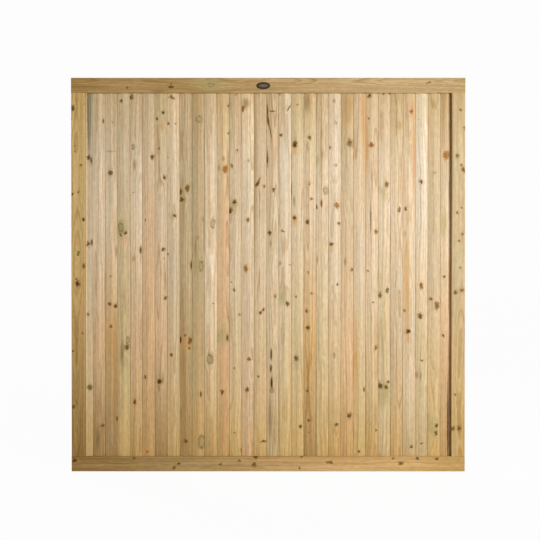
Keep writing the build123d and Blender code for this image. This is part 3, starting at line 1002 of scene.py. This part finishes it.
def cross_head(tree):
    """A countersunk head with two slots cut across it."""
    head = turned_part(tree, HEAD_RADIUS, SHANK_RADIUS, 0, HEAD_HEIGHT)
    cut = add(tree, "GeometryNodeMeshBoolean", {"Mesh 1": head}, operation="DIFFERENCE")
    for size in ((RECESS_SPAN, RECESS_WIDTH), (RECESS_WIDTH, RECESS_SPAN)):
        slot = add(tree, "GeometryNodeMeshCube", {"Size": (*size, 2 * RECESS_DEPTH)})
        feed(tree, cut, {"Mesh 2": slot})
    return cut


def rolled_thread(tree):
    """A ridge wound round the core, from the plain shank to the point."""
    length = POINT_START - THREAD_START
    path = {"Resolution": TURN_STEPS, "Rotations": length / THREAD_PITCH, "Height": length}
    path |= {"Start Radius": CORE_RADIUS, "End Radius": CORE_RADIUS}
    path = add(tree, "GeometryNodeCurveSpiral", path)
    ridge = {"Resolution": 3, "Radius": THREAD_RIDGE}
    ridge = add(tree, "GeometryNodeCurvePrimitiveCircle", ridge)
    thread = {"Curve": path, "Profile Curve": ridge, "Fill Caps": True}
    thread = {"Geometry": add(tree, "GeometryNodeCurveToMesh", thread)}
    thread["Translation"] = (0, 0, -POINT_START)
    return add(tree, "GeometryNodeTransform", thread)


def screw_group():
    """A cross-head screw at each point given, hanging down above the middle height, up below it."""
    inputs = {"Places": "Geometry", "Middle Height": "Float", "Finish": "Material"}
    tree, given, out = new_group("Screws", "GeometryNodeTree", inputs, {"Screws": "Geometry"})
    parts = [cross_head(tree), rolled_thread(tree)]
    parts.append(turned_part(tree, SHANK_RADIUS, SHANK_RADIUS, HEAD_HEIGHT, THREAD_START))
    parts.append(turned_part(tree, CORE_RADIUS, CORE_RADIUS, THREAD_START, POINT_START))
    parts.append(turned_part(tree, CORE_RADIUS, 0.0, POINT_START, SCREW_LENGTH))
    screw = add(tree, "GeometryNodeJoinGeometry")
    for part in parts:
        tree.links.new(part.outputs[0], screw.inputs[0])
    height = add(tree, SEPARATE, {0: add(tree, "GeometryNodeInputPosition")}).outputs["Z"]
    low = add(tree, MATH, {0: height, 1: given["Middle Height"]}, operation="LESS_THAN")
    turn = add(tree, MATH, {0: low, 1: math.pi}, operation="MULTIPLY")
    turn = add(tree, "FunctionNodeEulerToRotation", {0: add(tree, COMBINE, {0: turn})})
    placed = {"Points": given["Places"], "Instance": screw, "Rotation": turn}
    placed = add(tree, "GeometryNodeInstanceOnPoints", placed)
    placed = add(tree, "GeometryNodeRealizeInstances", {0: placed})
    placed = {"Geometry": placed, "Material": given["Finish"]}
    feed(tree, out, {0: add(tree, "GeometryNodeSetMaterial", placed)})
    return tree


def corner_screws():
    """Four zinc-plated screws in the place of the plain ones."""
    low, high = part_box("corner_screws")
    reach = high.x - HEAD_RADIUS
    places = bpy.data.meshes.new("screw_places")
    places.from_pydata([(x, 0, z) for z in (low.z, high.z) for x in (-reach, reach)], [], [])
    maker = bpy.data.objects.new("screw_maker", places)
    bpy.context.scene.collection.objects.link(maker)
    tree = screw_group()
    modifier = maker.modifiers.new("screws", "NODES")
    modifier.node_group = tree
    values = {"Middle Height": (low.z + high.z) / 2, "Finish": ZINC}
    for socket in tree.interface.items_tree:
        if socket.name in values:
            modifier[socket.identifier] = values[socket.name]
    shape = maker.evaluated_get(bpy.context.evaluated_depsgraph_get())
    piece = bpy.data.objects.new("cross_head_screws", bpy.data.meshes.new_from_object(shape))
    bpy.data.objects.remove(maker)
    bpy.context.scene.collection.objects.link(piece)
    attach(piece, "root")
    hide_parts("corner_screws")


# Studio
PAPER_WHITE = "#FDFDFD"
FLOOR_GREY = "#CDCDCA"
FLOOR_SIZE = 60.0
FLOOR_GLOW = 1.03  # lifts the little that the floor's own shading lacks
GLOW_PART = 0.95  # the rest is the floor's own shading, which holds the shadow
FILL_STRENGTH = 0.18
PANEL_MIDDLE = (0, 0, 0.9)
SUN_SPREAD = 25  # degrees, for soft shadows
KEY_STRENGTH = 0.8
BACK_STRENGTH = 2.3
KEY_PLACE = (3.6, -4.6, 2.4)
BACK_PLACE = (-3.0, 5.0, 2.4)
SOFTBOX_POWER = 41
SOFTBOX_SIDE = 1.2
SOFTBOX_SPREAD = 80  # degrees, so that its light falls off over the panel
SOFTBOX_PLACE = (2.9, -3.6, 2.0)
SOFTBOX_TARGET = (0.5, 0, 1.3)  # the panel's upper right, its palest part


def seen_directly(tree):
    """One where the camera, a gloss ray or a transmission ray looks, and nothing elsewhere."""
    path = add(tree, "ShaderNodeLightPath").outputs
    seen = {0: path["Is Camera Ray"], 1: path["Is Glossy Ray"]}
    seen = add(tree, MATH, seen, operation="ADD")
    seen = {0: seen, 1: path["Is Transmission Ray"]}
    return add(tree, MATH, seen, operation="ADD", use_clamp=True)


def world():
    """A dim, even fill that looks white to the camera."""
    scene = bpy.context.scene
    scene.world = scene.world or bpy.data.worlds.new("studio")
    scene.world.use_nodes = True
    tree = scene.world.node_tree
    tree.nodes.clear()
    fill = {"Color": linear("#FFFFFF"), "Strength": FILL_STRENGTH}
    fill = add(tree, "ShaderNodeBackground", fill)
    white = add(tree, "ShaderNodeBackground", {"Color": linear(PAPER_WHITE), "Strength": 1.0})
    mixed = add(tree, "ShaderNodeMixShader", {0: seen_directly(tree), 1: fill, 2: white})
    add(tree, "ShaderNodeOutputWorld", {"Surface": mixed})


def floor():
    """A pale floor, as white as the background to the camera, with the panel's faint shadow."""
    bpy.ops.mesh.primitive_plane_add(size=FLOOR_SIZE, location=(0, 0, 0))
    ground = bpy.context.object
    ground.name = "studio_floor"
    material, tree, shader = new_material("pale_studio_floor")
    feed(tree, shader, {"Base Color": linear(FLOOR_GREY), "Roughness": 0.9})
    glow = {"Color": linear(PAPER_WHITE), "Strength": FLOOR_GLOW}
    glow = add(tree, "ShaderNodeEmission", glow)
    part = add(tree, MATH, {0: seen_directly(tree), 1: GLOW_PART}, operation="MULTIPLY")
    mixed = add(tree, "ShaderNodeMixShader", {0: part, 1: shader, 2: glow})
    output = next(n for n in tree.nodes if n.type == "OUTPUT_MATERIAL")
    feed(tree, output, {"Surface": mixed})
    ground.data.materials.append(material)


def aim(thing, target):
    """Turns a lamp or the camera to look at a place."""
    thing.rotation_euler = (Vector(target) - thing.location).to_track_quat("-Z", "Y").to_euler()


def place_lamp(light, place, target):
    """Hangs a lamp in the scene."""
    lamp = bpy.data.objects.new(light.name, light)
    lamp.location = place
    aim(lamp, target)
    bpy.context.scene.collection.objects.link(lamp)


def far_lamp(name, strength, place):
    """An even light from one side, with soft shadows."""
    light = bpy.data.lights.new(name, "SUN")
    light.energy = strength
    light.angle = math.radians(SUN_SPREAD)
    place_lamp(light, place, PANEL_MIDDLE)


def lamps():
    """Light from the right, a softbox that falls off to the left and below, and a back light."""
    far_lamp("key", KEY_STRENGTH, KEY_PLACE)
    soft = bpy.data.lights.new("softbox", "AREA")
    soft.shape = "SQUARE"
    soft.size = SOFTBOX_SIDE
    soft.spread = math.radians(SOFTBOX_SPREAD)
    soft.energy = SOFTBOX_POWER
    place_lamp(soft, SOFTBOX_PLACE, SOFTBOX_TARGET)
    far_lamp("back", BACK_STRENGTH, BACK_PLACE)


# Camera: the photograph's frame is 2.51 m wide at the panel's front
FOCAL_LENGTH = 65.0
SENSOR = 36.0
EYE_RISE = 0.042  # of the eye above the middle of the picture


def camera():
    """Looks at the panel square on, a little above its middle and tipped down by half a degree."""
    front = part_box("top_rail")[0].y
    middle_x = (PHOTO_SIDE / 2 - PHOTO_MIDDLE_X) * MM_PER_PIXEL_X * MM
    middle_z = (PHOTO_GROUND_Y - PHOTO_SIDE / 2) * MM_PER_PIXEL_Z * MM
    width = PHOTO_SIDE * (MM_PER_PIXEL_X + MM_PER_PIXEL_Z) / 2 * MM
    lens = bpy.data.cameras.new("camera")
    lens.lens = FOCAL_LENGTH
    lens.sensor_width = SENSOR
    eye = bpy.data.objects.new("camera", lens)
    eye.location = (middle_x, front - width * FOCAL_LENGTH / SENSOR, middle_z + EYE_RISE)
    aim(eye, (middle_x, front, middle_z))
    bpy.context.scene.collection.objects.link(eye)
    bpy.context.scene.camera = eye


dress()
corner_screws()
world()
floor()
lamps()
camera()
bpy.context.scene.view_settings.view_transform = "Standard"
